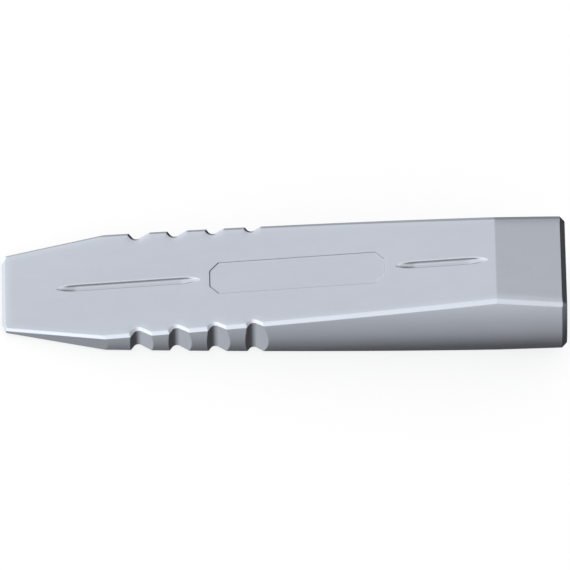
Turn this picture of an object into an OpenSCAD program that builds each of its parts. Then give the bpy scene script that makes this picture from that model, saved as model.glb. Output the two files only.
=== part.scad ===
// Felling and splitting wedge: one drop-forged piece of aluminium alloy.
//
// Frame: the wedge lies on its lower ramp. Z = 0 is the plane of the lower
// ramp, +X runs from the thin end to the striking head, +Y is the left side
// seen from the thin end, and the origin is the middle of the bottom of the
// bounding box. The profiles below are drawn in the forging's own symmetric
// frame (striking face at x = 0, mid-plane at z = 0) and are laid down onto
// the lower ramp at the end.

/* [Overall size] */
// Overall length from the nose to the striking face
length = 250; // [220:1:280]
// Width across the fullest line of the crowned sides
width = 53.8; // [50:0.2:58]
// Greatest thickness, at the ridge where the ramps turn to the head
thickness = 43.5; // [40:0.5:46]
// Radius of the crowned sides, about an axis along the length
side_radius = 46; // [42:1:60]

/* [Head] */
// Distance of the ridge from the striking face
ridge_dist = 31.1; // [26:0.1:36]
// Thickness at the striking face, before its edge is broken
head_thickness = 38.2; // [36:0.2:40]
// Leg of the chamfer all round the striking face
head_chamfer = 2.1; // [1:0.1:3]

/* [Thin end] */
// Thickness of the two ramps taken to the nose plane
tip_thickness = 3.54; // [3:0.02:5]
// Thickness of the flat nose
nose_thickness = 1.8; // [1.4:0.1:2.4]
// Length of the bevel and of the corner cuts behind the nose
nose_bevel = 1.46; // [1:0.02:2]
// Width of the flat nose
nose_width = 32.7; // [28:0.1:34]
// Width of the thin end, its tapered sides taken to the nose plane
tip_width = 37.7; // [36:0.1:42]
// Distance from the nose to the bend where the tapered sides end
bend_dist = 46.5; // [40:0.5:52]

/* [Long edges] */
// Leg of the chamfer along the long edges and round the side teeth
edge_chamfer = 1.29; // [0.8:0.01:1.6]
// Leg of that chamfer at the thin end
edge_chamfer_tip = 1.1; // [0.6:0.05:1.3]

/* [Side teeth] */
// Number of notches in each side
notches = 4; // [1:1:5]
// Distance from the nose to the first notch, at its root
notch_first = 59.4; // [58:0.1:64]
// Distance from one notch to the next
notch_pitch = 17; // [15:0.5:18]
// Depth of a notch below the fullest line of the side
notch_depth = 3.43; // [2:0.01:4]
// Radius of the notch root
root_radius = 2.38; // [1.5:0.02:3]
// Slope of the holding wall, on the thin-end side of the notch
wall_angle = 55; // [45:1:65]
// Slope of the long flank, on the head side of the notch
flank_angle = 30; // [24:1:36]

/* [Face grooves] */
// Width of the two grooves on the centre line of each ramp
groove_width = 3.7; // [2:0.1:5]
// Depth of the grooves
groove_depth = 1.3; // [0.6:0.1:2]
// Length over which a groove runs out to a point
groove_runout = 10; // [6:0.5:12]
// Front groove: distance from the nose along the ramp
front_groove_start = 24.3; // [20:0.1:30]
// Front groove: length
front_groove_length = 64; // [40:0.5:64]
// Rear groove: distance from the nose along the ramp
rear_groove_start = 175.2; // [174:0.1:178]
// Rear groove: length
rear_groove_length = 41.2; // [24:0.2:42]

/* [Name field] */
// Blank sunk field between the grooves: distance from the nose along the ramp
field_start = 92.5; // [90:0.5:95]
// Length of the field
field_length = 78; // [60:1:79]
// Width of the field
field_width = 16; // [8:0.5:20]
// Depth of the field
field_depth = 0.6; // [0.3:0.1:1]
// Corner cut of the field
field_cut = 4; // [1:0.5:4]

/* [Hidden] */
$fn = 96;
// Run of a cutter or blank past the surface it has to clear
overshoot = 1;

half_width = width / 2;
nose_end_x = -length + nose_bevel;
// Height of a crown's axis off the centre line
crown_y = half_width - side_radius;
// Angles of the ramps and head tapers to the mid-plane, and of the tapered
// sides to the centre line
ramp_angle = atan((thickness - tip_thickness) / 2 / (length - ridge_dist));
head_angle = atan((thickness - head_thickness) / 2 / ridge_dist);
taper_angle = atan((half_width - tip_width / 2) / bend_dist);

// --- Surfaces of the blank ---

// Half thickness of the ramps and the head tapers at x
function half_thickness(x) = thickness / 2
    + (x + ridge_dist) * (x < -ridge_dist ? tan(ramp_angle) : -tan(head_angle));
// The same with the bevelled nose
function top_z(x) = x < nose_end_x
    ? nose_thickness / 2
        + (x + length) * (half_thickness(nose_end_x) - nose_thickness / 2) / nose_bevel
    : half_thickness(x);
// Half width of the thin end at x, and the same with the nose corners cut
function taper_y(x) = tip_width / 2 + (x + length) * tan(taper_angle);
function plan_y(x) = x < nose_end_x
    ? nose_width / 2 + (x + length) * (taper_y(nose_end_x) - nose_width / 2) / nose_bevel
    : taper_y(x);
// Crowned side at height z
function crown(z) = crown_y + sqrt(side_radius * side_radius - z * z);

// Half thickness where the head chamfer starts
chamfer_z = half_thickness(-head_chamfer);

// Where a line in plan, from inside to outside the crown, meets it at a drop
// below the ramp, found by halving
halvings = 25;
function crown_meet(inside, outside, drop, step = 0) =
    let (mid = (inside + outside) / 2)
    step == halvings ? mid
    : crown(half_thickness(mid.x) - drop) > mid.y
        ? crown_meet(mid, outside, drop, step + 1)
        : crown_meet(inside, mid, drop, step + 1);

// Where the tapered side meets the crown
function bend_point(drop) =
    let (inner_x = -length + bend_dist / 2, outer_x = -length + bend_dist)
    crown_meet([inner_x, taper_y(inner_x)], [outer_x, taper_y(outer_x)], drop);
bend_x = bend_point(0).x;

// --- Notches in plan: side is -1 for the wall and 1 for the flank ---

root_y = half_width - notch_depth + root_radius;
// The wall and flank leave the root circle a few degrees inside the tangent
ease = 3;

function root_x(i) = -length + notch_first + i * notch_pitch
    + root_radius * sin((wall_angle - flank_angle) / 2) / cos((wall_angle + flank_angle) / 2);
function slope(side) = side < 0 ? wall_angle : flank_angle;
// Angle on the root circle, from its deepest point, where a line leaves it
function leave_angle(side) = side * (slope(side) - ease);
function root_point(i, angle) =
    [root_x(i) + root_radius * sin(angle), root_y - root_radius * cos(angle)];
function root_end(i, side) = root_point(i, leave_angle(side));
// Point on the wall or flank at height y in plan
function notch_line(i, side, y) =
    let (start = root_end(i, side))
    [start.x + side * (y - start.y) / tan(slope(side)), y];
// Where the wall or flank meets the crown
function notch_mouth(i, side, drop) = crown_meet(
    notch_line(i, side, root_y - root_radius / 2),
    notch_line(i, side, half_width + overshoot), drop);

// --- Chamfer of the long edges ---

// Steps of the edge path round a root, from notches to ridge, and over the head
root_steps = 6;
side_steps = 8;
head_steps = 4;
// Lowers the chamfer's end at a corner, so that the chamfers of the two sides
// of the corner meet on one side of it and not exactly on it
corner_drop = 0.07;
// Gap between the last row of the path and the head chamfer
head_gap = 0.12;
// Start of the path, ahead of the nose
path_start = -length - 1.5;
// Crowned rows start this far behind the last notch
notch_gap = 4;
// Share of the tip's chamfer leg left at the nose plane
nose_leg_share = 0.55;
// Run of the cutter past each edge, as a share of the chamfer's face
face_overrun = 0.6;
// Distance of the cutter's outer point from the edge, outward and upward
cutter_reach = 2;

// Chamfer leg at x
function leg(x) =
    x < nose_end_x ? edge_chamfer_tip
        * (nose_leg_share + (1 - nose_leg_share) * max(0, (x + length) / nose_bevel))
    : x > bend_x ? edge_chamfer
    : edge_chamfer_tip
        + (edge_chamfer - edge_chamfer_tip) * (x - nose_end_x) / (bend_x - nose_end_x);

// Rows of the edge path: the edge of the ramp in plan, the point where its
// chamfer ends on the side below, and the drop of that point
function upright(point) = [point, point, 0];
function crowned(x) =
    [[x, crown(half_thickness(x))], [x, crown(half_thickness(x) - leg(x))], 0];
function mouth_row(i, side) =
    [notch_mouth(i, side, 0), notch_mouth(i, side, edge_chamfer), corner_drop];
function notch_rows(i) = concat(
    [mouth_row(i, -1)],
    [for (k = [0:root_steps])
        let (part = k / root_steps)
        upright(root_point(i, leave_angle(-1) + part * (leave_angle(1) - leave_angle(-1))))],
    [mouth_row(i, 1)]);

// The path from the nose to the head
clear_x = notch_mouth(notches - 1, 1, 0).x + notch_gap;
edge_path = concat(
    [for (x = [path_start, nose_end_x]) upright([x, plan_y(x)])],
    [[bend_point(0), bend_point(edge_chamfer), corner_drop]],
    [for (i = [0:notches - 1]) each notch_rows(i)],
    [for (k = [0:side_steps - 1])
        crowned(clear_x + (-ridge_dist - clear_x) * k / side_steps)],
    [for (k = [0:head_steps])
        crowned(-ridge_dist + (ridge_dist - head_chamfer - head_gap) * k / head_steps)]);
last = len(edge_path) - 1;

// Normal on the left of a line between two plane points
function normal(from, to) = let (run = to - from) [-run.y, run.x] / norm(run);
// Outward normal of the edge in plan at row k, mitred at corners
function edge_normal(k) = normal(edge_path[k][0], edge_path[k + 1][0]);
function miter(k) =
    let (before = edge_normal(max(0, k - 1)), after = edge_normal(min(last - 1, k)))
    (before + after) / (1 + before * after);

// The chamfer's two edges at row k: on the ramp, and on the side below it
function on_top(k) =
    let (edge = edge_path[k][0], point = edge - leg(edge.x) * miter(k))
    [point.x, point.y, top_z(point.x)];
function on_side(k) =
    let (point = edge_path[k][1])
    [point.x, point.y, top_z(point.x) - leg(point.x) - edge_path[k][2]];
// One section of the chamfer cutter: two points on the chamfer's plane,
// carried past both edges, and one well clear of the corner
function section(k) =
    let (
        edge = edge_path[k][0],
        top = on_top(k),
        side = on_side(k),
        overrun = face_overrun * (top - side),
        outer = edge + cutter_reach * miter(k))
    [side - overrun, top + overrun, [outer.x, outer.y, top_z(edge.x) + cutter_reach]];
// A section carried on along x by a distance, and drawn in by the same
function drawn_in(points, dist) =
    let (
        side = points[0],
        top = points[1],
        outward = normal([top.y, top.z], [side.y, side.z]))
    [for (point = points) point + dist * [1, -outward.x, -outward.y]];

sections = concat(
    [for (k = [0:last]) section(k)],
    [drawn_in(section(last), head_chamfer + head_gap + overshoot)]);

// Closed solid through a row of three-point sections
module skin(rows) {
    count = len(rows);
    polyhedron(
        points = [for (row = rows) each row],
        faces = concat(
            [[2, 1, 0]],
            [for (k = [0:count - 2], corner = [0:2])
                let (this = 3 * k + corner, next = 3 * k + (corner + 1) % 3)
                each [[this, next + 3, this + 3], [this, next, next + 3]]],
            [[3 * count - 3, 3 * count - 2, 3 * count - 1]]));
}

// One mirrored copy each side of the centre line, above and below
module four_edges() {
    for (a = [0, 1], b = [0, 1]) mirror([0, a, 0]) mirror([0, 0, b]) children();
}

// --- Blank and cutters ---

// Outline symmetric about y = 0 from its upper half, with optional lists of
// points on the axis at its start and end
function both_sides(half, start = [], end = []) = concat(
    start,
    [for (point = half) [point.x, -point.y]],
    end,
    [for (k = [len(half) - 1:-1:0]) half[k]]);

// Side view: two ramps, the ridge, the head tapers and the broken edges
module side_profile() {
    rotate([90, 0, 0]) linear_extrude(height = 2 * width, center = true)
        polygon(both_sides([
            [-length, nose_thickness / 2],
            [nose_end_x, half_thickness(nose_end_x)],
            [-ridge_dist, thickness / 2],
            [-head_chamfer, chamfer_z],
            [0, chamfer_z - head_chamfer]]));
}

// Plan view: the nose, its corner cuts and the tapered sides of the thin end,
// which run on past the bend to clear the crowned sides
module plan_profile() {
    end_x = -length + bend_dist + 8;
    linear_extrude(height = 2 * width, center = true)
        polygon(both_sides([
            [-length, nose_width / 2],
            [nose_end_x, plan_y(nose_end_x)],
            [end_x, taper_y(end_x)],
            [overshoot, taper_y(end_x)]]));
}

// Crowned side, coned down to the striking face
module crowned_bar() {
    end = length + 2 * overshoot;
    rotate([0, -90, 0]) translate([0, crown_y, 0]) rotate_extrude($fn = 180)
        polygon([
            [0, 0], [side_radius - head_chamfer, 0], [side_radius, head_chamfer],
            [side_radius, end], [0, end]]);
}

// Notch i as an upright cutter through the full thickness
module notch_cutter(i) {
    mouth_y = half_width + 4;
    translate([0, 0, -width]) {
        linear_extrude(height = 2 * width)
            polygon([
                notch_line(i, -1, mouth_y), root_end(i, -1),
                root_end(i, 1), notch_line(i, 1, mouth_y)]);
        translate([root_x(i), root_y, 0]) cylinder(r = root_radius, h = 2 * width, $fn = 64);
    }
}

// Plan of a groove's pointed end: distance from the end as a share of the
// runout, half width as a share of the full half width
groove_taper = [[0.25, 0.55], [0.6, 0.88], [1.1, 1]];
// Run of the point past the groove's end
groove_point = 0.5;

// Groove with an even floor, upright sides and pointed, rising ends
module groove(long) {
    front = [for (row = groove_taper) [row.x * groove_runout, row.y * groove_width / 2]];
    rear = [for (k = [len(front) - 1:-1:0]) [long - front[k].x, front[k].y]];
    intersection() {
        rotate([90, 0, 0]) linear_extrude(height = groove_width + 2 * overshoot, center = true)
            polygon([
                [0, 0], [groove_runout, -groove_depth],
                [long - groove_runout, -groove_depth], [long, 0],
                [long, overshoot], [0, overshoot]]);
        translate([0, 0, -groove_depth - overshoot])
            linear_extrude(height = groove_depth + 3 * overshoot)
                polygon(both_sides(
                    concat(front, rear),
                    start = [[-groove_point, 0]],
                    end = [[long + groove_point, 0]]));
    }
}

// Blank name field: an even floor with cut corners
module name_field() {
    side = field_width / 2;
    translate([0, 0, -field_depth]) linear_extrude(height = field_depth + overshoot)
        polygon(both_sides([
            [0, side - field_cut], [field_cut, side],
            [field_length - field_cut, side], [field_length, side - field_cut]]));
}

// Sunk features of both ramps, placed along the ramp from the nose
module ramp_features() {
    for (b = [0, 1]) mirror([0, 0, b])
        translate([-length, 0, tip_thickness / 2]) rotate([0, -ramp_angle, 0]) {
            translate([front_groove_start, 0, 0]) groove(front_groove_length);
            translate([rear_groove_start, 0, 0]) groove(rear_groove_length);
            translate([field_start, 0, 0]) name_field();
        }
}

// The forging in its symmetric frame
module forging() {
    difference() {
        intersection() {
            side_profile();
            plan_profile();
            crowned_bar();
            mirror([0, 1, 0]) crowned_bar();
        }
        for (a = [0, 1], i = [0:notches - 1]) mirror([0, a, 0]) notch_cutter(i);
        four_edges() skin(sections);
        ramp_features();
    }
}

// Ends of the wedge in x once it is turned onto its lower ramp, and its lift
laid_nose_x = -length * cos(ramp_angle) - nose_thickness / 2 * sin(ramp_angle);
laid_head_x = (chamfer_z - head_chamfer) * sin(ramp_angle);
laid_z = length * sin(ramp_angle) + tip_thickness / 2 * cos(ramp_angle);

// The whole wedge, one forging, lying on its lower ramp
module wedge_body() {
    color([0.74, 0.75, 0.78])
        translate([-(laid_nose_x + laid_head_x) / 2, 0, laid_z])
            rotate([0, -ramp_angle, 0]) forging();
}

wedge_body();
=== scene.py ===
"""A forged aluminium wedge with notched sides, lying on its lower ramp.

The forging is worked out in millimetres in its own symmetric frame: nose at
x = -LENGTH, striking face at x = 0, mid-planes y = 0 and z = 0. One quarter
(y and z positive) is built and mirrored, then tilted and moved to where the
CAD node lies, in metres.
"""
import math

import bpy
import numpy as np
from mathutils import Matrix, Vector


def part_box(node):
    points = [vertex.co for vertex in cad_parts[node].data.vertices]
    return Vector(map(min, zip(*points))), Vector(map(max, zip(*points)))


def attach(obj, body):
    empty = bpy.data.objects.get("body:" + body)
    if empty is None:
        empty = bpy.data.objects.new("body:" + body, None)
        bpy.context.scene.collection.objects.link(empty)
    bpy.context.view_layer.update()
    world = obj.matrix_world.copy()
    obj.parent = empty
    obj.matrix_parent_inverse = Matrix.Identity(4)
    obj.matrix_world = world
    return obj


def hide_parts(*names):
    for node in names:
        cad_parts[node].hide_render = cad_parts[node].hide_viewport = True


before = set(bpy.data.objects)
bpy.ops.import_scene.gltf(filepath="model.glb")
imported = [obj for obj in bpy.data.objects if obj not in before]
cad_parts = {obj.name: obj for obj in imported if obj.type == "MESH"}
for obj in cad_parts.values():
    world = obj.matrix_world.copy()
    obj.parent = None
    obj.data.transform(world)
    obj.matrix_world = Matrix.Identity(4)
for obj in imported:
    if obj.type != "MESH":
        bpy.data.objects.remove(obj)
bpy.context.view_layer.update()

node_lo, node_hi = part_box("wedge_body")

# ---------------------------------------------------------------------------
# Sizes of the forging, mm
# ---------------------------------------------------------------------------
LENGTH = 250.0
HALF_WIDTH = 53.8 / 2
THICK = 43.5         # at the ridge
SIDE_R = 46.0        # crown of the long sides, seen along x
CROWN_Y = HALF_WIDTH - SIDE_R
RIDGE = 31.1         # from the striking face back to the ridge
HEAD_THICK = 38.2    # at the striking face, before its chamfer
HEAD_CHAMFER = 2.25
TIP_THICK = 3.54     # of the ramps at the nose, before the bevel
TIP_WIDTH = 37.7     # of the tapered sides at the nose, before the bevel
NOSE_THICK = 1.8     # of the flat end of the nose
NOSE_WIDTH = 32.7
NOSE_BEVEL = 1.46    # along x
TAPER_LENGTH = 46.5
LEG = 1.29           # of the long-edge chamfers
LEG_TIP = 1.1        # of the same chamfers at the nose bevel

# Notches in the sides: a steep wall towards the nose, a flank towards the head
NOTCHES = 4
FIRST = 59.4         # from the nose to where the first wall and flank would meet
PITCH = 17.0
NOTCH_DEPTH = 3.43
ROOT_R = 2.38
WALL = math.radians(55)
FLANK = math.radians(30)

# Grooves along the middle of each ramp
GROOVES = ((24.3, 64.0), (175.2, 41.2))    # start from the nose along the ramp, length
GROOVE_WIDTH = 3.25
GROOVE_RUN = 10.0    # length over which the outline widens
GROOVE_ARC = 47.6    # radius of the arcs that narrow it to its ends
FLOOR_RUN = GROOVE_RUN - 1.6    # length over which the floor goes down
GROOVE_DEEP = 1.55
GROOVE_STEP = 0.12   # depth at the ends
GROOVE_BOWL = 0.42   # rise of the floor at its sides
DRAFT = math.tan(math.radians(10))

# Sunk blank field on each ramp, with its corners cut at 45 degrees
FIELD_START = 92.5
FIELD_LENGTH = 78.0
FIELD_HALF = 16.0 / 2
FIELD_DEPTH = 0.6
FIELD_CUT = 4.0
FIELD_DRAFT = math.tan(math.radians(22))

# Softness of the edges
EDGE_SOFT = 0.13     # machined edges
HEAD_SOFT = 0.08     # round the striking face
RIDGE_SOFT = 0.05
BEND_SOFT = 0.14     # where the tapered sides start
END_SOFT = 0.2       # at the two flat ends

# The ramps fall away towards their edges: from FALL_WIDE in, and at a constant
# slope over the last FALL_FLAT. They also fall a little round the sunk features.
FALL_SLOPE = 0.105
FALL_FLAT = 1.0
FALL_WIDE = 3.6
EDGE_DROP = FALL_SLOPE * (FALL_FLAT + FALL_WIDE) / 2
RIM_DROP = 0.05
RIM_REACH = 1.1

RAMP_TAN = (THICK - TIP_THICK) / 2 / (LENGTH - RIDGE)
HEAD_TAN = (THICK - HEAD_THICK) / 2 / RIDGE
RAMP = math.atan(RAMP_TAN)
HEAD = math.atan(HEAD_TAN)
TAPER = math.atan((HALF_WIDTH - TIP_WIDTH / 2) / TAPER_LENGTH)
RAMP_COS, RAMP_SIN = math.cos(RAMP), math.sin(RAMP)
NOSE_X = -LENGTH + NOSE_BEVEL
FAR = 1e3            # larger than any distance on the forging


# ---------------------------------------------------------------------------
# Outlines
# ---------------------------------------------------------------------------
def half_thick(x):
    return np.where(x < -RIDGE, THICK / 2 + (x + RIDGE) * RAMP_TAN,
                    THICK / 2 - (x + RIDGE) * HEAD_TAN)


def taper_y(x):
    return TIP_WIDTH / 2 + (x + LENGTH) * math.tan(TAPER)


BEVEL_Z = float(half_thick(np.array(NOSE_X)))
BEVEL_Y = float(taper_y(NOSE_X))
HEAD_Z = float(half_thick(np.array(-HEAD_CHAMFER)))


def top_z(x):
    """Half thickness, nose bevel included."""
    end = NOSE_THICK / 2
    bevel = end + (x + LENGTH) * (BEVEL_Z - end) / NOSE_BEVEL
    return np.where(x < NOSE_X, bevel, half_thick(x))


def plan_y(x):
    """Half width of the tapered sides, nose bevel included."""
    end = NOSE_WIDTH / 2
    bevel = end + (x + LENGTH) * (BEVEL_Y - end) / NOSE_BEVEL
    return np.where(x < NOSE_X, bevel, taper_y(x))


def crown(z, radius=SIDE_R):
    """Half width of the crowned side at height z."""
    return CROWN_Y + np.sqrt(np.maximum(radius * radius - z * z, 0.0))


def find_bend():
    """x at which the top edge passes from the taper to the crown."""
    low, high = -LENGTH + TAPER_LENGTH / 2, -LENGTH + TAPER_LENGTH
    for _ in range(40):
        middle = (low + high) / 2
        if float(crown(half_thick(np.array(middle)))) > taper_y(middle):
            low = middle
        else:
            high = middle
    return low


BEND_X = find_bend()


def leg(x):
    """Leg of the long-edge chamfer."""
    tip = LEG_TIP * (0.55 + 0.45 * np.clip((x + LENGTH) / NOSE_BEVEL, 0, 1))
    middle = LEG_TIP + (LEG - LEG_TIP) * (x - NOSE_X) / (BEND_X - NOSE_X)
    return np.where(x < NOSE_X, tip, np.where(x > BEND_X, LEG, middle))


# centres of the root arcs, and where those arcs meet wall and flank
ROOT_Y = HALF_WIDTH - NOTCH_DEPTH + ROOT_R
ROOT_X = [-LENGTH + FIRST + PITCH * i + ROOT_R / math.sin(math.pi / 2 - (WALL + FLANK) / 2)
          * math.sin((WALL - FLANK) / 2) for i in range(NOTCHES)]
WALL_DX, WALL_Y = -ROOT_R * math.sin(WALL), ROOT_Y - ROOT_R * math.cos(WALL)
FLANK_DX, FLANK_Y = ROOT_R * math.sin(FLANK), ROOT_Y - ROOT_R * math.cos(FLANK)


def notch_far(x, y):
    """Distance outside the nearest notch in plan; negative inside a notch."""
    best = np.full(np.broadcast(x, y).shape, FAR)
    wall_sin, wall_cos = math.sin(WALL), math.cos(WALL)
    flank_sin, flank_cos = math.sin(FLANK), math.cos(FLANK)
    for root_x in ROOT_X:
        dx, dy = x - root_x, y - ROOT_Y
        off_wall = -dx * wall_sin - dy * wall_cos
        off_flank = dx * flank_sin - dy * flank_cos
        up_wall = -dx * wall_cos + dy * wall_sin
        up_flank = dx * flank_cos + dy * flank_sin
        far = np.hypot(dx, dy)
        far = np.where((off_flank > 0) & (up_flank > 0), off_flank, far)
        far = np.where((off_wall > 0) & (up_wall > 0), off_wall, far)
        far = np.where((off_wall <= 0) & (off_flank <= 0), np.maximum(off_wall, off_flank), far)
        best = np.minimum(best, far - ROOT_R)
    return best


def notch_y(x):
    """y of the notch outline at x."""
    best = np.full(np.shape(x), FAR)
    for root_x in ROOT_X:
        dx = x - root_x
        arc = ROOT_Y - np.sqrt(np.maximum(ROOT_R ** 2 - dx ** 2, 0))
        wall = WALL_Y - (dx - WALL_DX) * math.tan(WALL)
        flank = FLANK_Y + (dx - FLANK_DX) * math.tan(FLANK)
        best = np.minimum(best, np.where(dx < WALL_DX, wall, np.where(dx > FLANK_DX, flank, arc)))
    return best


def outline_y(x, z):
    return np.minimum(np.minimum(crown(z), plan_y(x)), notch_y(x))


# ---------------------------------------------------------------------------
# Sunk features of the ramps; along is the distance from the nose up the ramp
# ---------------------------------------------------------------------------
def soft_max(a, b, soft):
    blend = np.maximum(soft - np.abs(a - b), 0) / soft
    return np.maximum(a, b) + blend * blend * soft * 0.25


def end_distance(along, start, length):
    """Distance from the nearer end of a feature; negative beyond it."""
    return np.minimum(along - start, start + length - along)


def groove_half(from_end):
    """Half width of a groove."""
    short = np.clip(GROOVE_RUN - from_end, 0, GROOVE_RUN)
    half = GROOVE_WIDTH / 2 - GROOVE_ARC + np.sqrt(GROOVE_ARC ** 2 - short ** 2)
    return half * np.sqrt(1 - np.clip(1 - (from_end - 0.06) / 1.05, 0, 1) ** 2)


def groove_depth(from_end):
    slope = (GROOVE_DEEP - GROOVE_STEP) * np.maximum(from_end, 0) / FLOOR_RUN
    return -soft_max(-(GROOVE_STEP + slope), -GROOVE_DEEP, soft=0.12)


def groove_plan(from_end, y):
    """Plan distance outside a groove's outline; negative inside."""
    arc = np.hypot(from_end - GROOVE_RUN, y - GROOVE_WIDTH / 2 + GROOVE_ARC) - GROOVE_ARC
    side = np.where(from_end < GROOVE_RUN, arc, y - GROOVE_WIDTH / 2)
    return soft_max(side, -from_end, soft=1.6)


def groove_void(along, y, depth):
    """Signed distance to the grooves; negative inside."""
    best = np.full(np.shape(along), FAR)
    for start, length in GROOVES:
        from_end = end_distance(along, start, length)
        half = groove_half(from_end).clip(0.3)
        side = groove_plan(from_end, y) + np.maximum(depth, -0.3) * DRAFT
        floor = depth - groove_depth(from_end) + GROOVE_BOWL * (y / half) ** 2
        best = np.minimum(best, soft_max(side, floor, soft=0.5))
    return best


def groove_rim(along, y):
    """Plan distance outside the groove outlines; zero inside."""
    best = np.full(np.shape(along), FAR)
    for start, length in GROOVES:
        plan = groove_plan(end_distance(along, start, length), y)
        best = np.minimum(best, np.maximum(plan, 0))
    return best


def field_plan(along, y):
    """Plan distance outside the blank field; negative inside."""
    from_end = end_distance(along, FIELD_START, FIELD_LENGTH)
    cut = (y - from_end - (FIELD_HALF - FIELD_CUT)) / math.sqrt(2)
    return soft_max(soft_max(y - FIELD_HALF, -from_end, soft=0.3), cut, soft=0.4)


def field_void(along, y, depth):
    side = field_plan(along, y) + np.maximum(depth, -0.3) * FIELD_DRAFT
    return soft_max(side, depth - FIELD_DEPTH, soft=0.22)


# ---------------------------------------------------------------------------
# The whole skin as one signed measure
# ---------------------------------------------------------------------------
def falling(inside):
    """Drop of the ramps at a distance inside an edge."""
    width = FALL_WIDE - FALL_FLAT
    curve = np.clip((FALL_WIDE - inside) / width, 0, 1)
    straight = FALL_SLOPE * np.clip(FALL_FLAT - inside, 0, FALL_FLAT)
    return FALL_SLOPE * width * curve * curve / 2 + straight


def nose_plane(x, across, end, full):
    """Distance outside a nose bevel that widens from end to full."""
    rise = full - end
    return (-(x + LENGTH) * rise + (across - end) * NOSE_BEVEL) / math.hypot(rise, NOSE_BEVEL)


def meet(skin, others, soft):
    for other in others:
        skin = soft_max(skin, other, soft)
    return skin


def surface(x, y, z):
    """Signed measure of the forging: zero on its skin, positive outside."""
    y, z = np.abs(y), np.abs(z)
    ramp = (z - (THICK / 2 + (x + RIDGE) * RAMP_TAN)) * RAMP_COS
    head = (z - (THICK / 2 - (x + RIDGE) * HEAD_TAN)) * math.cos(HEAD)
    face = soft_max(ramp, head, RIDGE_SOFT)
    bevel = nose_plane(x, z, NOSE_THICK / 2, BEVEL_Z)
    top = np.maximum(face, bevel)
    # sides
    side = np.hypot(y - CROWN_Y, z) - SIDE_R
    taper = (y - taper_y(x)) * math.cos(TAPER)
    nose_side = nose_plane(x, y, NOSE_WIDTH / 2, BEVEL_Y)
    notch = -notch_far(x, y)
    # top face, falling towards its edges and the sunk features
    edge_x = np.minimum(x, -HEAD_CHAMFER)
    edge_z = top_z(edge_x)
    edge_leg = leg(x)
    edge_y = crown(edge_z)
    inset = soft_max(y - edge_y, taper, soft=0.6)
    inset = -meet(inset, (notch, nose_side), soft=0.4) - edge_leg
    along = (x + LENGTH) / RAMP_COS
    rim = RIM_DROP * np.exp(-groove_rim(along, y) / RIM_REACH)
    rim = rim + 0.8 * RIM_DROP * np.exp(-np.maximum(field_plan(along, y), 0) / RIM_REACH)
    fall = soft_max(falling(inset), 0.8 * falling(x - NOSE_X), soft=0.08)
    face = face + fall + rim * np.clip((-RIDGE - x) / 2, 0, 1)
    bevel = bevel + 0.35 * EDGE_DROP
    # long-edge chamfers, which start below the fallen face
    leg_down = edge_leg - EDGE_DROP
    chamfer_y = edge_y - edge_leg
    widening = crown(edge_z - edge_leg) - chamfer_y
    crown_chamfer = ((y - chamfer_y) * leg_down + (z - edge_z + EDGE_DROP) * widening) \
        / np.hypot(leg_down, widening)

    def chamfer(flat):
        return (flat * leg_down + (top + edge_leg) * edge_leg) / np.hypot(leg_down, edge_leg)

    # chamfer round the striking face
    head_in = x + HEAD_CHAMFER
    head_chamfers = ((z - HEAD_Z + head_in) / math.sqrt(2), (side + head_in) / math.sqrt(2),
                     (crown_chamfer + head_in - 0.2) / math.sqrt(2))
    walls = soft_max(soft_max(side, taper, BEND_SOFT), nose_side, EDGE_SOFT)
    skin = meet(face, (bevel, walls, crown_chamfer, chamfer(taper), chamfer(nose_side),
                       notch, chamfer(notch)), EDGE_SOFT)
    skin = meet(skin, head_chamfers, HEAD_SOFT)
    skin = meet(skin, (x, -LENGTH - x), END_SOFT)
    skin = soft_max(skin, -groove_void(along, y, -ramp), soft=0.45)
    return soft_max(skin, -field_void(along, y, -ramp), soft=0.10)


def axis_steps(step):
    """Pairs of opposite steps along x, y and z."""
    return [(shift, -shift) for shift in np.eye(3) * step]


def gradient(points, step=2e-3):
    slope = np.empty_like(points)
    for k, (ahead, behind) in enumerate(axis_steps(step)):
        slope[:, k] = surface(*(points + ahead).T) - surface(*(points + behind).T)
    size = np.linalg.norm(slope, axis=1)
    size[size == 0] = 1
    return slope / size[:, None]


# ---------------------------------------------------------------------------
# Stations along the length: dense where the shape turns, exact on its edges
# ---------------------------------------------------------------------------
MAX_SPACING = 3.2
MIN_ANCHOR_GAP = 0.09


def find_corners(root_x):
    """x of a notch's mouth, wall foot, flank foot and mouth, on the top edge."""
    wall_foot, flank_foot = root_x + WALL_DX, root_x + FLANK_DX
    xs = np.linspace(wall_foot - 4, wall_foot, 4001)
    near = xs[np.argmax(notch_y(xs) < crown(half_thick(xs)))]
    xs = np.linspace(flank_foot, flank_foot + 7, 7001)
    far = xs[np.argmax(notch_y(xs) > crown(half_thick(xs)))]
    return near, wall_foot, flank_foot, far


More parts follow.
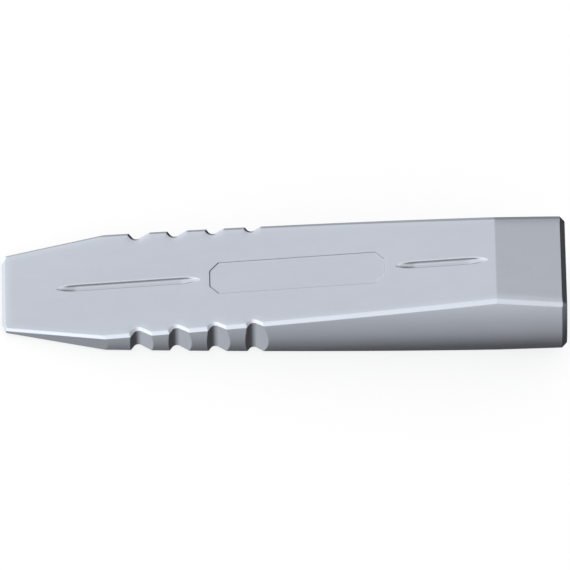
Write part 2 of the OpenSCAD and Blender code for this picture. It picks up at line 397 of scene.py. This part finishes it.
def find_marks():
    """Rows of x, spacing there, growth of the spacing away from it."""
    marks = [(-LENGTH + 0.22, 0.15, 0.28), (-RIDGE, 0.16, 0.4), (-0.3, 0.2, 0.28)]
    marks += [(BEND_X + 0.9 + dx, 0.6, 0.28) for dx in (-1.7, 0.0, 1.7)]
    for x, before in ((NOSE_X, 0.12), (-HEAD_CHAMFER, 0.12)):
        marks += [(x - 0.2, before, 0.28), (x, 0.12, 0.28), (x + 0.2, 0.15, 0.28)]
    for near, wall_foot, flank_foot, far in CORNERS:
        marks += [(near, 0.11, 0.3), (wall_foot, 0.2, 0.3),
                  ((wall_foot * 2 + flank_foot) / 3, 0.22, 0.3),
                  (flank_foot, 0.26, 0.3), (far, 0.15, 0.3)]
    # sunk features: distance in from each end, spacing, growth
    groove_rows = ((0, 0.08, 0.16), (2.0, 0.4, 0.1), (5.5, 0.5, 0.06),
                   (GROOVE_RUN + 0.5, 0.6, 0.2), (FLOOR_RUN, 0.4, 0.25))
    field_rows = ((0, 0.11, 0.3), (0.24, 0.11, 0.3), (FIELD_CUT, 0.14, 0.3))
    features = [(*groove, groove_rows) for groove in GROOVES]
    features.append((FIELD_START, FIELD_LENGTH, field_rows))
    for start, length, rows in features:
        for end, sign in ((start, 1), (start + length, -1)):
            marks += [(-LENGTH + (end + sign * inside) * RAMP_COS, step, growth)
                      for inside, step, growth in rows]
    return sorted(marks)


def spacing(x, marks):
    result = np.full(np.shape(x), MAX_SPACING)
    for mark_x, step, growth in marks:
        result = np.minimum(result, step + growth * np.abs(x - mark_x))
    return result


def find_stations(marks):
    anchors = [marks[0][0]]
    for x, _, _ in marks[1:]:
        if x - anchors[-1] > MIN_ANCHOR_GAP:
            anchors.append(x)
    stations = [anchors[0]]
    for start, end in zip(anchors, anchors[1:]):
        xs = np.linspace(start, end, 400)
        density = 1 / spacing(xs, marks)
        steps = (density[1:] + density[:-1]) / 2 * np.diff(xs)
        total = np.concatenate([[0], np.cumsum(steps)])
        count = max(1, int(math.ceil(total[-1] - 0.15)))
        stations += list(np.interp(np.linspace(0, total[-1], count + 1)[1:], total, xs))
    return np.array(stations)


CORNERS = [find_corners(root_x) for root_x in ROOT_X]
station_x = find_stations(find_marks())
STATIONS = len(station_x)

# ---------------------------------------------------------------------------
# Guides for the lines round the section
# ---------------------------------------------------------------------------
LEAN_REACH = 3.2     # the lines lean this far beyond a notch's mouth


def groove_guide(along):
    """The groove's own half width, easing out between the grooves."""
    guide = np.full(np.shape(along), 1.5)
    for start, length in GROOVES:
        beyond = np.maximum(-end_distance(along, start, length), 0)
        guide = np.minimum(guide, 0.09 + 1.41 * (1 - np.exp(-beyond / 2.2)))
    for start, length in GROOVES:
        from_end = end_distance(along, start, length)
        guide = np.where(from_end > 0, np.maximum(groove_half(from_end), 0.09), guide)
    return guide


def field_guide(along):
    from_end = end_distance(along, FIELD_START, FIELD_LENGTH)
    low = FIELD_HALF - FIELD_CUT
    beyond = FIELD_HALF - FIELD_CUT * np.exp(np.minimum(from_end, 0) / 2.5)
    return np.where(from_end > 0, np.minimum(low + from_end, FIELD_HALF), beyond)


def local_depth(along):
    depth = np.zeros(np.shape(along))
    for start, length in GROOVES:
        from_end = end_distance(along, start, length)
        depth = np.maximum(depth, np.where(from_end > 0, groove_depth(from_end), 0))
    return depth


def top_lines(along):
    """y of the lines over the groove and the field, from the centre outwards."""
    groove = groove_guide(along)
    wall = np.minimum(np.clip(local_depth(along) * DRAFT, 0.03, None), 0.5 * groove)
    floor = groove - wall
    field = field_guide(along)
    lines = [0 * groove, 0.42 * floor, 0.76 * floor, floor - 0.10 * np.minimum(1, floor), floor,
             (floor + groove) / 2]
    lines += [groove + out for out in (0.0, 0.07, 0.2, 0.5, 1.0)]
    lines.append((groove + 1.0 + field - 0.6) / 2)
    lines += [field + out for out in (-0.6, -0.34, -0.22, -0.08, 0.04, 0.2, 0.7)]
    return lines


def edge_lean(xs):
    """Plan direction, per mm of chamfer leg, in which the lines step in from the edge.

    It follows the notches and meets the mitres of the chamfer.
    """
    taper = (math.sin(TAPER), -math.cos(TAPER))
    keys = [(-LENGTH, 0.0, -1.15), (NOSE_X, 0.25, -1.0), (NOSE_X + 1.2, *taper),
            (BEND_X - 1.0, *taper), (BEND_X + 2.5, 0.0, -1.0)]
    for root_x, (near, wall_foot, flank_foot, far) in zip(ROOT_X, CORNERS):
        keys += [(near - LEAN_REACH, 0.0, -1.0), (near, -math.tan(WALL / 2), -1.0),
                 (wall_foot, -math.sin(WALL), -math.cos(WALL))]
        for k in range(1, 9):
            angle = -WALL + (WALL + FLANK) * k / 9
            keys.append((root_x + ROOT_R * math.sin(angle), math.sin(angle), -math.cos(angle)))
        keys += [(flank_foot, math.sin(FLANK), -math.cos(FLANK)),
                 (far, math.tan(FLANK / 2), -1.0), (far + LEAN_REACH, 0.0, -1.0)]
    keys.append((0.0, 0.0, -1.0))
    key_x, lean_x, lean_y = np.array(keys).T
    return np.interp(xs, key_x, lean_x), np.interp(xs, key_x, lean_y)


def side_x(x, z):
    """x on the crowned side at height z: notch mouths move with the crown."""
    result = x.copy()
    y = crown(z)
    for near, wall_foot, flank_foot, far in CORNERS:
        near_z = wall_foot - (y - WALL_Y) / math.tan(WALL)
        far_z = flank_foot + (y - FLANK_Y) / math.tan(FLANK)
        for fixed, mouth, moved in ((near - LEAN_REACH, near, near_z), (wall_foot, near, near_z),
                                    (flank_foot, far, far_z), (far + LEAN_REACH, far, far_z)):
            between = (x - fixed) * (x - mouth) <= 0
            shifted = fixed + (x - fixed) / (mouth - fixed) * (moved - fixed)
            result = np.where(between, shifted, result)
    return result


def mitre(normal_a, normal_b):
    return (normal_a + normal_b) / (1 + (normal_a * normal_b).sum(1))[:, None]


# ---------------------------------------------------------------------------
# Starting points, from the centre line of the ramp to the mid-plane z = 0.
# The head chamfer draws the section in, and two more sections turn the rim of
# the striking face over.
# ---------------------------------------------------------------------------
def with_head(values):
    return np.concatenate([values, [values[-1], values[-1]]])


section_x = np.concatenate([np.minimum(station_x, -HEAD_CHAMFER), [-HEAD_CHAMFER] * 2])
draw_in = np.concatenate([np.maximum(station_x + HEAD_CHAMFER, 0.0),
                          [HEAD_CHAMFER + 0.02, HEAD_CHAMFER + 0.27]])
shift_x = np.concatenate([station_x, [0.0, 0.0]]) - section_x
ramp_lines = [with_head(y) for y in top_lines((station_x + LENGTH) / RAMP_COS)]
lean_x, lean_y = (with_head(values) for values in edge_lean(station_x))

legs = leg(section_x)
ramp_z = top_z(section_x)
rim_y = outline_y(section_x, ramp_z)
low_z = np.maximum(ramp_z - legs, 0.05 * ramp_z)     # lower edge of the long chamfer
low_x = side_x(section_x, low_z)
low_y = outline_y(low_x, low_z)
high_x = section_x + legs * lean_x                   # its upper edge
high_y = rim_y + legs * lean_y

# shift of the chamfer's two edges as the section is drawn in
chamfer_normal = np.stack([legs - EDGE_DROP, crown(ramp_z - legs) - (crown(ramp_z) - legs)], 1)
chamfer_normal /= np.linalg.norm(chamfer_normal, axis=1)[:, None]
side_normal = np.stack([(low_y - CROWN_Y) / SIDE_R, low_z / SIDE_R], 1)
high_shift = draw_in[:, None] * mitre(chamfer_normal, np.array([0, 1]))
low_shift = draw_in[:, None] * mitre(chamfer_normal, side_normal)
high_y = high_y - high_shift[:, 0]
high_z = ramp_z - high_shift[:, 1]
low_y = low_y - low_shift[:, 0]
low_z = low_z - low_shift[:, 1]

starts, inwards = [], []                             # one entry per line


def put(x, y, z, angle):
    """Adds a line that settles inwards at an angle, in degrees, from straight down."""
    turn = np.radians(angle) * np.ones(len(section_x))
    starts.append(np.stack([x + shift_x, y, z], 1))
    inwards.append(np.stack([0 * x, -np.sin(turn), -np.cos(turn)], 1))


def put_side(z, angle):
    x = side_x(section_x, z)
    cuts = np.where(draw_in > 0, FAR, np.minimum(plan_y(x), notch_y(x)))
    put(x, np.minimum(crown(z, SIDE_R - draw_in), cuts), z, angle)


for y in ramp_lines:
    put(section_x, y, ramp_z - draw_in, 0.0)
# from the field to just inside the chamfer
reach = legs + 0.55
reach_y = rim_y + reach * lean_y - high_shift[:, 0]
for share in (0.2, 0.38, 0.54, 0.67, 0.775, 0.855, 0.915, 0.962):
    put(section_x + reach * lean_x * share ** 1.6,
        ramp_lines[-1] + (reach_y - ramp_lines[-1]) * share, ramp_z - draw_in, 0.0)
for extra, angle in ((0.55, 0.0), (0.26, 5.0), (0.11, 12.0), (0.0, 20.0)):
    inset = legs + extra
    x = section_x + inset * lean_x
    put(x, rim_y + inset * lean_y - high_shift[:, 0],
        top_z(np.minimum(x, -HEAD_CHAMFER)) - draw_in, angle)
# across the chamfer
for share, angle in ((0.09, 30.0), (0.2, 38.0), (0.5, 45.0), (0.8, 52.0), (0.91, 60.0),
                     (1.0, 69.0)):
    put(high_x + (low_x - high_x) * share, high_y + (low_y - high_y) * share,
        high_z + (low_z - high_z) * share, angle)
CORNER = len(starts) - 4                             # corner of the flat ends' grids
# down the side
for drop, angle in ((0.13, 78.0), (0.3, 86.0), (0.65, 90.0)):
    side_z = low_z - np.minimum(drop, low_z * drop / 1.4)
    put_side(side_z, angle)
for share in (0.07, 0.17, 0.29, 0.42, 0.56, 0.7, 0.85, 1.0):
    put_side(side_z * (1 - share), 90.0)
starts = np.stack(starts, 1)                         # sections x lines x 3
inwards = np.stack(inwards, 1)


# ---------------------------------------------------------------------------
# Settling onto the skin, and the flat ends
# ---------------------------------------------------------------------------
def settle(start, inward, back=0.7):
    """Walks each point along its direction until it lies on the skin."""
    flat, direction = start.reshape(-1, 3), inward.reshape(-1, 3)
    walked = np.full(len(flat), -back)
    for _ in range(110):
        gap = surface(*(flat + direction * walked[:, None]).T)
        walked = walked + np.clip(gap, -0.4, 0.4) * 0.85
    settled = (flat + direction * walked[:, None]).reshape(start.shape)
    # the ends of each section lie exactly on the two mid-planes
    settled[..., 0, 1] = 0.0
    settled[..., -1, 2] = 0.0
    return settled


def settle_end(ring, sign, pull, back):
    """Settles a ring into the end facing sign * x, leaning towards the axis by pull."""
    inward = -pull * ring / ring.max(axis=0)
    inward[:, 0] = -sign
    return settle(ring, inward / np.linalg.norm(inward, axis=1)[:, None], back)


def shrunk(ring, inset):
    """The ring drawn in and laid on the flat of the nose."""
    result = ring * (1 - inset / ring.max(axis=0))
    result[:, 0] = -LENGTH
    return result


def fill(ring, x_plane):
    """Grid between the top run and the side run of a flat end's ring."""
    top, side = ring[:CORNER + 1], ring[CORNER:]
    u = top[:, 1] / top[-1, 1]
    v = 1 - side[:, 2] / side[0, 2]
    centre = np.stack([0 * v + x_plane, 0 * v, top[0, 2] * (1 - v)], 1)
    bottom = np.stack([0 * u + x_plane, side[-1, 1] * u, 0 * u], 1)
    u, v = (grid[..., None] for grid in np.meshgrid(u, v))
    grid = ((1 - u) * centre[:, None] + u * side[:, None] + (1 - v) * top[None]
            + v * bottom[None]
            - ((1 - u) * (1 - v) * top[0] + u * (1 - v) * top[-1]
               + (1 - u) * v * centre[-1] + u * v * side[-1]))
    grid[..., 0] = x_plane
    grid[0] = top
    grid[:, -1] = side
    grid[:, 0, 1] = 0
    grid[-1, :, 2] = 0
    return grid


def grid_quads(table):
    return np.stack([table[:-1, :-1], table[1:, :-1], table[1:, 1:], table[:-1, 1:]],
                    -1).reshape(-1, 4)


def cap_quads(grid, ring_ids, first_id):
    """Quads of a flat end facing -x, sharing the points of its ring."""
    rows, columns = grid.shape[0] - 1, grid.shape[1] - 1
    table = np.zeros(grid.shape[:2], int)
    table[0] = ring_ids[:CORNER + 1]
    table[:, -1] = ring_ids[CORNER:]
    table[1:, :-1] = first_id + np.arange(rows * columns).reshape(rows, columns)
    return grid_quads(table)[:, [0, 3, 2, 1]]


def build_quarter():
    skin = settle(starts[:STATIONS], inwards[:STATIONS])
    head_rim = settle_end(starts[STATIONS], 1, pull=0.6, back=0.4)
    head_flat = settle_end(starts[STATIONS + 1], 1, pull=0.0, back=0.3)
    nose_rim = settle_end(shrunk(skin[0], 0.08), -1, pull=0.7, back=0.3)
    nose_flat = settle_end(shrunk(skin[0], 0.30), -1, pull=0.0, back=0.3)
    rings = np.stack([nose_flat, nose_rim, *skin, head_rim, head_flat])
    ids = np.arange(rings.shape[0] * rings.shape[1]).reshape(rings.shape[:2])
    nose_grid, head_grid = fill(nose_flat, -LENGTH), fill(head_flat, 0.0)
    nose_points = nose_grid[1:, :-1].reshape(-1, 3)
    head_points = head_grid[1:, :-1].reshape(-1, 3)
    points = np.concatenate([rings.reshape(-1, 3), nose_points, head_points])
    quads = np.concatenate([
        grid_quads(ids), cap_quads(nose_grid, ids[0], ids.size),
        cap_quads(head_grid, ids[-1], ids.size + len(nose_points))[:, ::-1]])
    across = points[:, 1:]
    across[np.abs(across) < 1e-7] = 0.0
    return points, quads


def mirror_quarter(points, quads):
    """Four mirrored quarters that share the points of the two mid-planes."""
    on_y, on_z = points[:, 1] == 0, points[:, 2] == 0
    all_points, all_quads, index = [], [], {}
    count = 0
    for sign_y in (1, -1):
        for sign_z in (1, -1):
            ids = np.zeros(len(points), int)
            own = np.ones(len(points), bool)
            if sign_y < 0:
                own &= ~on_y
                ids[on_y] = index[(1, sign_z)][on_y]
            if sign_z < 0:
                own &= ~on_z
                ids[on_z] = index[(sign_y, 1)][on_z]
            ids[own] = count + np.arange(own.sum())
            count += int(own.sum())
            index[(sign_y, sign_z)] = ids
            all_points.append((points * [1, sign_y, sign_z])[own])
            all_quads.append(ids[quads] if sign_y * sign_z > 0 else ids[quads][:, ::-1])
    return np.concatenate(all_points), np.concatenate(all_quads)


points, quads = mirror_quarter(*build_quarter())

# ---------------------------------------------------------------------------
# Lay the forging on its lower ramp, where the CAD node lies
# ---------------------------------------------------------------------------
Y_SCALE = 0.99999    # the laid width is this share of the worked-out one
low_end = -LENGTH * RAMP_COS - NOSE_THICK / 2 * RAMP_SIN
high_end = (HEAD_Z - HEAD_CHAMFER) * RAMP_SIN
LAID_X = (node_lo.x + node_hi.x) / 2 * 1000 - (low_end + high_end) / 2
LAID_Z = node_lo.z * 1000 + LENGTH * RAMP_SIN + TIP_THICK / 2 * RAMP_COS


def turned(vectors):
    x, y, z = np.moveaxis(np.asarray(vectors, float), -1, 0)
    return np.stack([x * RAMP_COS - z * RAMP_SIN, y, x * RAMP_SIN + z * RAMP_COS], -1)


def laid(places):
    """Points of the symmetric frame, in mm, to the world, in metres."""
    return (turned(places) * [1, Y_SCALE, 1] + [LAID_X, 0, LAID_Z]) / 1000


mesh = bpy.data.meshes.new("wedge_forging")
mesh.from_pydata(laid(points).tolist(), [], quads.tolist())
mesh.validate()
mesh.update()
mesh.polygons.foreach_set("use_smooth", np.ones(len(mesh.polygons), bool))
mesh.normals_split_custom_set_from_vertices(turned(gradient(points)).tolist())


# ---------------------------------------------------------------------------
# Masks for the finish, and for the painted highlight and painted shade
# ---------------------------------------------------------------------------
def edge_mask(step=0.22):
    """Positive on convex edges, negative in hollows; it drives the painted edge highlight and the
    painted hollow shade.
    """
    total = np.zeros(len(points))
    for pair in axis_steps(step):
        for shift in pair:
            total += surface(*(points + shift).T)
    return np.clip(total / (step * 6) * 1.6, -1, 1)


def painted_recess_shade_mask(along, y, depth):
    """Painted shade on the walls of the sunk features, with a faint share on groove rims and
    floors.
    """
    mask = np.zeros(len(points))
    for start, length in GROOVES:
        from_end = end_distance(along, start, length)
        inside = -groove_plan(from_end, y)
        shade = np.clip((0.95 - inside) / 0.6, 0, 1) * np.clip(inside / 0.04 + 0.5, 0, 1)
        deep = np.clip((groove_depth(from_end) - 0.45) / 0.6, 0, 1) * (from_end > 0)
        for part in (shade * np.clip(depth / 0.25, 0, 1),
                     0.34 * np.exp(-((inside + 0.03) / 0.2) ** 2),
                     0.15 * np.clip(inside / 0.2, 0, 1)):
            mask = np.maximum(mask, part * deep)
    inside = -field_plan(along, y)
    shade = np.clip((0.4 - inside) / 0.25, 0, 1) * np.clip(depth / 0.15, 0, 1)
    return np.maximum(mask, shade * (inside > -0.1))


def add_masks():
    x, y, z = points[:, 0], np.abs(points[:, 1]), np.abs(points[:, 2])
    along = (x + LENGTH) / RAMP_COS
    depth = (THICK / 2 + (x + RIDGE) * RAMP_TAN - z) * RAMP_COS
    # sunk marks the sunk areas, which the finish paints a little darker as shade and makes
    # rougher
    sunk = np.maximum(-field_plan(along, y) / 0.3, -(groove_rim(along, y) - 0.02) / 0.3)
    # the wall mask is painted shade on the walls, rims and floors of the sunk features
    masks = {"edge": edge_mask(), "sunk": np.clip(sunk, 0, 1),
             "wall": painted_recess_shade_mask(along, y, depth), "struck": np.clip((x + 1.2) / 1.0, 0, 1)}
    for name, values in masks.items():
        attribute = mesh.attributes.new(name, "FLOAT", "POINT")
        attribute.data.foreach_set("value", values.astype(np.float32))


add_masks()
wedge = bpy.data.objects.new("wedge_forging", mesh)
bpy.context.scene.collection.objects.link(wedge)
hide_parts("wedge_body")
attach(wedge, "root")
wedge.visible_glossy = False                  # the skin mirrors the soft lights only, not itself


# ---------------------------------------------------------------------------
# Materials
# ---------------------------------------------------------------------------
class Tree:
    """Short calls for the nodes of a material or world."""

    def __init__(self, owner):
        owner.use_nodes = True
        self.tree = owner.node_tree
        self.tree.nodes.clear()

    def node(self, kind, **props):
        node = self.tree.nodes.new(kind)
        for name, value in props.items():
            setattr(node, name, value)
        return node

    def put(self, socket, value):
        if isinstance(value, bpy.types.NodeSocket):
            self.tree.links.new(value, socket)
        else:
            socket.default_value = value

    def fill(self, node, inputs):
        for name, value in inputs.items():
            self.put(node.inputs[name], value)

    def math(self, operation, *values):
        node = self.node("ShaderNodeMath", operation=operation)
        self.fill(node, dict(enumerate(values)))
        return node.outputs[0]

    def weigh(self, value, *terms):
        """Adds or subtracts layers, each given as operation, layer, amount."""
        for operation, layer, amount in terms:
            value = self.math(operation, value, self.math("MULTIPLY", layer, amount))
        return value

    def vector(self, operation, *values, output="Vector"):
        node = self.node("ShaderNodeVectorMath", operation=operation)
        self.fill(node, dict(enumerate(values)))
        return node.outputs[output]

    def scaled(self, vector, factor):
        node = self.node("ShaderNodeVectorMath", operation="SCALE")
        self.fill(node, {0: vector, "Scale": factor})
        return node.outputs["Vector"]

    def noise(self, vector, scale, detail, rough):
        node = self.node("ShaderNodeTexNoise")
        self.fill(node, {"Vector": vector, "Scale": scale, "Detail": detail, "Roughness": rough})
        return node.outputs["Fac"]

    def remap(self, value, source, target):
        node = self.node("ShaderNodeMapRange")
        self.fill(node, {"Value": value, "From Min": source[0], "From Max": source[1],
                         "To Min": target[0], "To Max": target[1]})
        return node.outputs["Result"]

    def attribute(self, name):
        return self.node("ShaderNodeAttribute", attribute_name=name).outputs["Fac"]


def forged_aluminium():
    """Satin forged aluminium."""
    material = bpy.data.materials.new("forged_aluminium")
    tree = Tree(material)
    output = tree.node("ShaderNodeOutputMaterial")
    shader = tree.node("ShaderNodeBsdfPrincipled")
    tree.put(output.inputs["Surface"], shader.outputs["BSDF"])
    place = tree.node("ShaderNodeTexCoord").outputs["Object"]
    stretch = tree.node("ShaderNodeMapping")
    tree.fill(stretch, {"Vector": place, "Scale": (0.35, 1.0, 1.0)})
    flow = stretch.outputs["Vector"]

    cloud = tree.noise(flow, scale=26.0, detail=3.0, rough=0.55)     # centimetre-wide tones
    patch = tree.noise(flow, scale=150.0, detail=3.0, rough=0.6)     # millimetre mottling
    grain = tree.noise(place, scale=1900.0, detail=2.0, rough=0.6)   # half-millimetre grain
    fine = tree.noise(place, scale=5200.0, detail=1.0, rough=0.5)
    edge, sunk, wall = (tree.attribute(name) for name in ("edge", "sunk", "wall"))
    # convex edges get a painted highlight and less roughness; hollows get painted shade
    edge_highlight_and_gloss = tree.math("MAXIMUM", edge, 0.0)
    hollow_shade = tree.math("MAXIMUM", tree.math("MULTIPLY", edge, -1.0), 0.0)

    # share by which each layer lightens or darkens the metal
    tone = tree.math("ADD", tree.remap(cloud, source=(0.3, 0.7), target=(-0.018, 0.018)),
                     tree.remap(patch, source=(0.3, 0.7), target=(-0.012, 0.012)))
    tone = tree.math("ADD", tone,
                     tree.remap(grain, source=(0.25, 0.75), target=(-0.022, 0.022)))
    # the sunk areas are painted 2 percent darker as shade in the recesses, and are also rougher
    tone = tree.weigh(tone, ("ADD", edge_highlight_and_gloss, 0.05), ("SUBTRACT", hollow_shade, 0.06),
                      ("SUBTRACT", sunk, 0.02))
    # the wall mask darkens the colour by up to 52 percent: painted shade in the grooves and the
    # field
    value = tree.math("MULTIPLY", tree.math("ADD", tone, 1.0),
                      tree.math("MULTIPLY_ADD", wall, -0.52, 1.0))
    rough = tree.math("ADD", tree.remap(cloud, source=(0.3, 0.7), target=(0.345, 0.375)),
                      tree.remap(grain, source=(0.3, 0.7), target=(-0.02, 0.02)))
    rough = tree.weigh(rough, ("SUBTRACT", edge_highlight_and_gloss, 0.06), ("ADD", sunk, 0.03))
    height = tree.weigh(tree.math("MULTIPLY", grain, 0.6), ("ADD", fine, 0.25),
                        ("ADD", patch, 0.8))
    bump = tree.node("ShaderNodeBump")
    tree.fill(bump, {"Strength": 0.35, "Distance": 0.00002, "Height": height})
    tree.fill(shader, {"Base Color": tree.scaled((0.725, 0.75, 0.80), value), "Metallic": 1.0,
                       "Roughness": rough, "Normal": bump.outputs["Normal"]})
    return material


def pale_floor():
    material = bpy.data.materials.new("pale_floor")
    tree = Tree(material)
    output = tree.node("ShaderNodeOutputMaterial")
    both = tree.node("ShaderNodeAddShader")
    diffuse = tree.node("ShaderNodeBsdfDiffuse")
    glow = tree.node("ShaderNodeEmission")
    tree.fill(diffuse, {"Color": (0.28, 0.28, 0.28, 1)})
    tree.fill(glow, {"Color": (1, 1, 1, 1), "Strength": 0.735})
    tree.fill(both, {0: diffuse.outputs[0], 1: glow.outputs[0]})
    tree.put(output.inputs["Surface"], both.outputs[0])
    return material


metal = forged_aluminium()
mesh.materials.append(metal)
# the CAD node is hidden, and keeps the same finish
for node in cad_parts.values():
    slots = node.data.materials
    if slots:
        for i in range(len(slots)):
            slots[i] = metal
    else:
        slots.append(metal)

# ---------------------------------------------------------------------------
# Studio: soft lights that stay with the camera, over a pale floor
# ---------------------------------------------------------------------------
scene = bpy.context.scene
scene.view_settings.view_transform = "Standard"
scene.view_settings.look = "None"
scene.view_settings.exposure = 0.0
scene.view_settings.gamma = 1.0

# direction in camera space (right, up, towards the camera), strength
SOFTBOXES = (
    (0.05, 0.12, 0.99, 0.29), (0.27, -0.08, 0.96, 0.48), (-0.17, 0.29, 0.94, 0.288),
    (-0.07, -0.37, 0.93, 0.644), (0.34, 0.25, 0.91, 0.132), (0.01, 0.51, 0.86, 0.0852),
    (-0.37, -0.39, 0.84, 0.798), (0.56, 0.04, 0.82, 0.084), (-0.46, 0.37, 0.81, 0.879),
    (-0.63, -0.16, 0.76, 0.969), (-0.22, 0.65, 0.72, 0.242), (0.66, 0.29, 0.69, 0.621),
    (0.18, 0.75, 0.64, 0.597), (0.78, -0.12, 0.61, 0.284), (-0.05, -0.82, 0.57, 0.647),
    (-0.84, -0.02, 0.54, 0.734), (-0.71, 0.67, 0.24, 1.04), (0.07, -0.97, 0.22, 0.443),
    (-0.97, -0.16, 0.19, 0.642), (-0.24, 0.96, 0.16, 0.745), (-0.91, 0.39, 0.11, 0.605),
    (0.97, -0.23, 0.04, 0.104), (-1.00, 0.06, -0.02, 0.572), (0.89, -0.43, -0.18, 0.137),
    (-0.36, 0.91, -0.19, 0.664), (-0.35, -0.91, -0.21, 0.4), (0.51, -0.82, -0.26, 0.0592),
    (0.95, -0.09, -0.31, 0.106), (-0.01, -0.94, -0.34, 0.205), (0.72, -0.57, -0.39, 0.0277),
    (-0.15, 0.90, -0.41, 0.106), (-0.49, -0.76, -0.43, 0.157), (0.87, 0.22, -0.44, 0.0301),
    (-0.78, -0.36, -0.51, 1.52), (-0.41, 0.73, -0.54, 0.134), (0.75, 0.03, -0.66, 0.0929),
    (-0.56, 0.48, -0.68, 1.61), (-0.67, -0.14, -0.73, 1.04), (-0.19, 0.62, -0.76, 0.0315),
    (-0.55, 0.21, -0.81, 0.164),
)
SHARPNESS = 16.0                   # of each soft light; higher is narrower
LIGHT_TINT = (0.977, 1.0, 1.044)
PALE = (1.0, 1.0, 1.0, 1.0)        # what all but glossy rays see


def studio_world():
    world = bpy.data.worlds.new("studio")
    scene.world = world
    tree = Tree(world)
    world.cycles.sampling_method = "NONE"
    output = tree.node("ShaderNodeOutputWorld")
    to_camera = tree.node("ShaderNodeVectorTransform", vector_type="VECTOR",
                          convert_from="WORLD", convert_to="CAMERA")
    tree.put(to_camera.inputs["Vector"], tree.node("ShaderNodeTexCoord").outputs["Generated"])
    view = tree.vector("NORMALIZE", to_camera.outputs["Vector"])
    total = None
    for x, y, z, power in SOFTBOXES:
        size = math.sqrt(x * x + y * y + z * z)
        dot = tree.vector("DOT_PRODUCT", view, (x / size, y / size, -z / size), output="Value")
        lobe = tree.math("EXPONENT", tree.math("MULTIPLY_ADD", dot, SHARPNESS, -SHARPNESS))
        if total is None:
            total = tree.math("MULTIPLY", lobe, power)
        else:
            total = tree.math("MULTIPLY_ADD", lobe, power, total)
    glossy = tree.node("ShaderNodeLightPath").outputs["Is Glossy Ray"]
    mix = tree.node("ShaderNodeMix", data_type="RGBA")
    tree.fill(mix, {"Factor": glossy, "A": PALE, "B": tree.scaled(LIGHT_TINT, total)})
    background = tree.node("ShaderNodeBackground")
    tree.put(background.inputs["Color"], mix.outputs["Result"])
    tree.put(output.inputs["Surface"], background.outputs["Background"])


def build_floor(half=40.0, gap=0.0002):
    """Square floor, a small gap below the wedge; sizes in metres."""
    floor_mesh = bpy.data.meshes.new("floor")
    floor_mesh.from_pydata([(-half, -half, 0), (half, -half, 0), (half, half, 0),
                            (-half, half, 0)], [], [(0, 1, 2, 3)])
    floor = bpy.data.objects.new("floor", floor_mesh)
    floor.location.z = node_lo.z - gap
    scene.collection.objects.link(floor)
    floor.visible_glossy = False
    floor_mesh.materials.append(pale_floor())


# ---------------------------------------------------------------------------
# Camera: long lens, looking 30 degrees off the square view of the ramps
# ---------------------------------------------------------------------------
CAMERA_RIGHT = (0.99974, -0.01976, -0.01169)   # in the symmetric frame
CAMERA_UP = (0.02296, 0.8658, 0.49986)
AIM = (-124.49, -1.40, 10.0)       # mm to the right, up and towards the camera
VIEW_WIDTH = 252.35                # mm, at the aim
LENS = 1000.0
SENSOR = 36.0


def build_camera():
    right, up = np.array(CAMERA_RIGHT), np.array(CAMERA_UP)
    right /= np.linalg.norm(right)
    up -= right * (up @ right)
    up /= np.linalg.norm(up)
    toward = np.cross(right, up)
    target = AIM[0] * right + AIM[1] * up + AIM[2] * toward
    data = bpy.data.cameras.new("camera")
    data.lens = LENS
    data.sensor_width = SENSOR
    data.clip_start, data.clip_end = 0.1, 200.0
    camera = bpy.data.objects.new("camera", data)
    scene.collection.objects.link(camera)
    axes = turned([right, up, toward])
    place = Vector(laid(target)) + Vector(axes[2]) * (VIEW_WIDTH / 1000 * LENS / SENSOR)
    camera.matrix_world = Matrix.Translation(place) @ Matrix(axes.T.tolist()).to_4x4()
    scene.camera = camera


studio_world()
build_floor()
build_camera()
